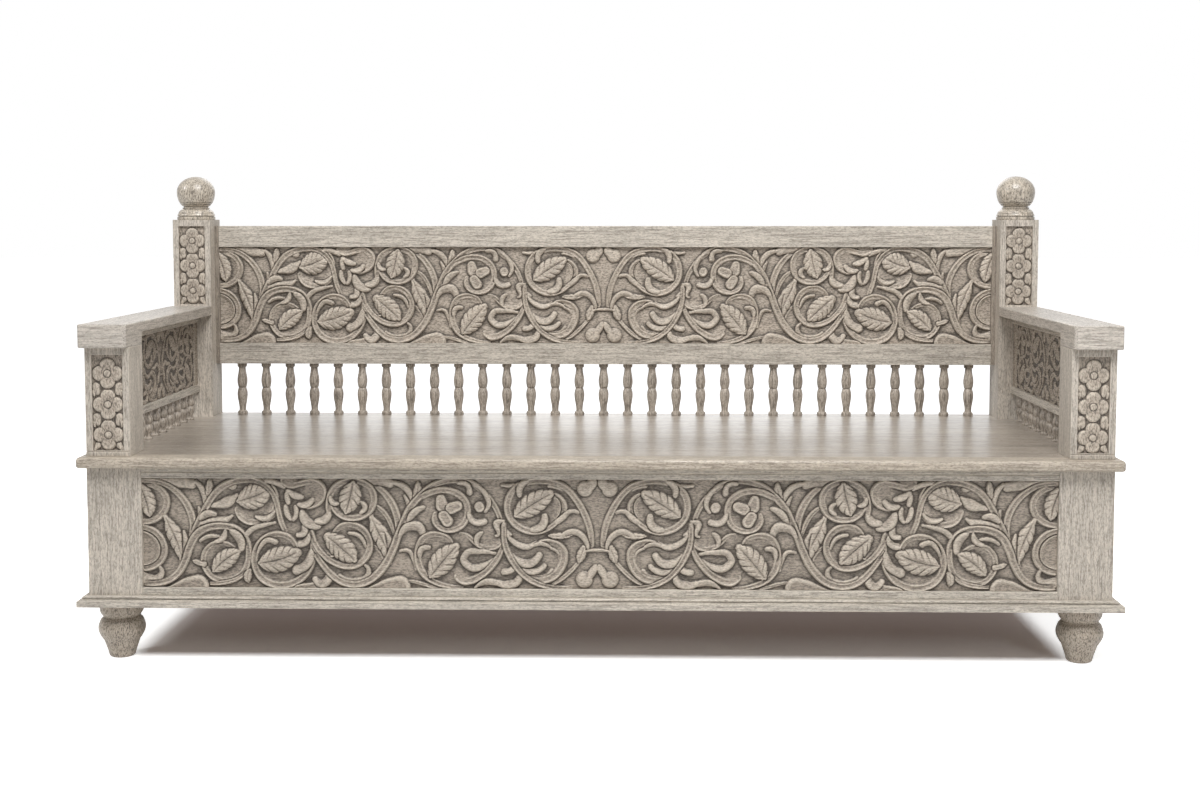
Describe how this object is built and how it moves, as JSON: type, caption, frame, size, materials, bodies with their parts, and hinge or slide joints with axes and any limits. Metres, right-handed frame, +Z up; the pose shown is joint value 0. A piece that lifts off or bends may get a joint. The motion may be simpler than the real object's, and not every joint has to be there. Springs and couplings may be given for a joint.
{
  "type": "carved takht bench",
  "caption": "Wide carved wooden takht: panelled box base on turned feet, boarded seat, flat arms, posts with ball finials, and a carved back over turned spindles.",
  "frame": {"origin": "on the floor under the middle of the whole outline", "axes": "+X along the bench, to the right as seen from the front; +Y from the front to the back; +Z up"},
  "size_m": [2.11, 0.772, 1.001],
  "materials": {
    "rail_wood": "weathered grey-beige wash over brushed straight grain, dry satin",
    "post_wood": "weathered grey-beige wash, grain running up the post, dry satin",
    "carved_wood": "weathered wash, pale on the high carving and dark brown in the hollows",
    "seat_wood": "weathered wash with a smooth satin wax sheen, long fine grain",
    "turned_wood": "weathered wash, fine mottled end grain, dry satin",
    "inner_wood": "unfinished sawn wood",
    "screw_steel": "plain steel"
  },
  "bodies": {
    "root": {"arm_post_left": "post_wood", "arm_post_right": "post_wood", "arm_rail_left": "rail_wood", "arm_rail_right": "rail_wood", "back_bottom_rail": "rail_wood", "back_carved_panel": "carved_wood", "back_post_left": "post_wood", "back_post_right": "post_wood", "back_spindles": "turned_wood", "back_stile_left": "post_wood", "back_stile_right": "post_wood", "back_top_rail": "rail_wood", "corner_post_front_left": "post_wood", "corner_post_front_right": "post_wood", "corner_post_rear_left": "post_wood", "corner_post_rear_right": "post_wood", "end_bottom_rail_left": "rail_wood", "end_bottom_rail_right": "rail_wood", "end_panel_left": "carved_wood", "end_panel_right": "carved_wood", "end_top_rail_left": "rail_wood", "end_top_rail_right": "rail_wood", "finial_left": "turned_wood", "finial_right": "turned_wood", "foot_front_left": "turned_wood", "foot_front_right": "turned_wood", "foot_rear_left": "turned_wood", "foot_rear_right": "turned_wood", "front_bottom_rail": "rail_wood", "front_carved_panel": "carved_wood", "front_top_rail": "rail_wood", "plinth_front": "rail_wood", "plinth_left": "rail_wood", "plinth_rear": "rail_wood", "plinth_right": "rail_wood", "rear_bottom_rail": "rail_wood", "rear_panel": "rail_wood", "rear_top_rail": "rail_wood", "seat_bearer_1": "inner_wood", "seat_bearer_2": "inner_wood", "seat_bearer_3": "inner_wood", "seat_board_1": "seat_wood", "seat_board_2": "seat_wood", "seat_board_3": "seat_wood", "seat_board_4": "seat_wood", "seat_board_5": "seat_wood", "seat_board_6": "seat_wood", "seat_ledger_front": "inner_wood", "seat_ledger_rear": "inner_wood", "seat_nosing": "seat_wood", "seat_screws": "screw_steel", "side_carved_panel_left": "carved_wood", "side_carved_panel_right": "carved_wood", "side_lower_rail_left": "rail_wood", "side_lower_rail_right": "rail_wood", "side_spindles_left": "turned_wood", "side_spindles_right": "turned_wood", "side_top_rail_left": "rail_wood", "side_top_rail_right": "rail_wood"}
  },
  "joints": []
}
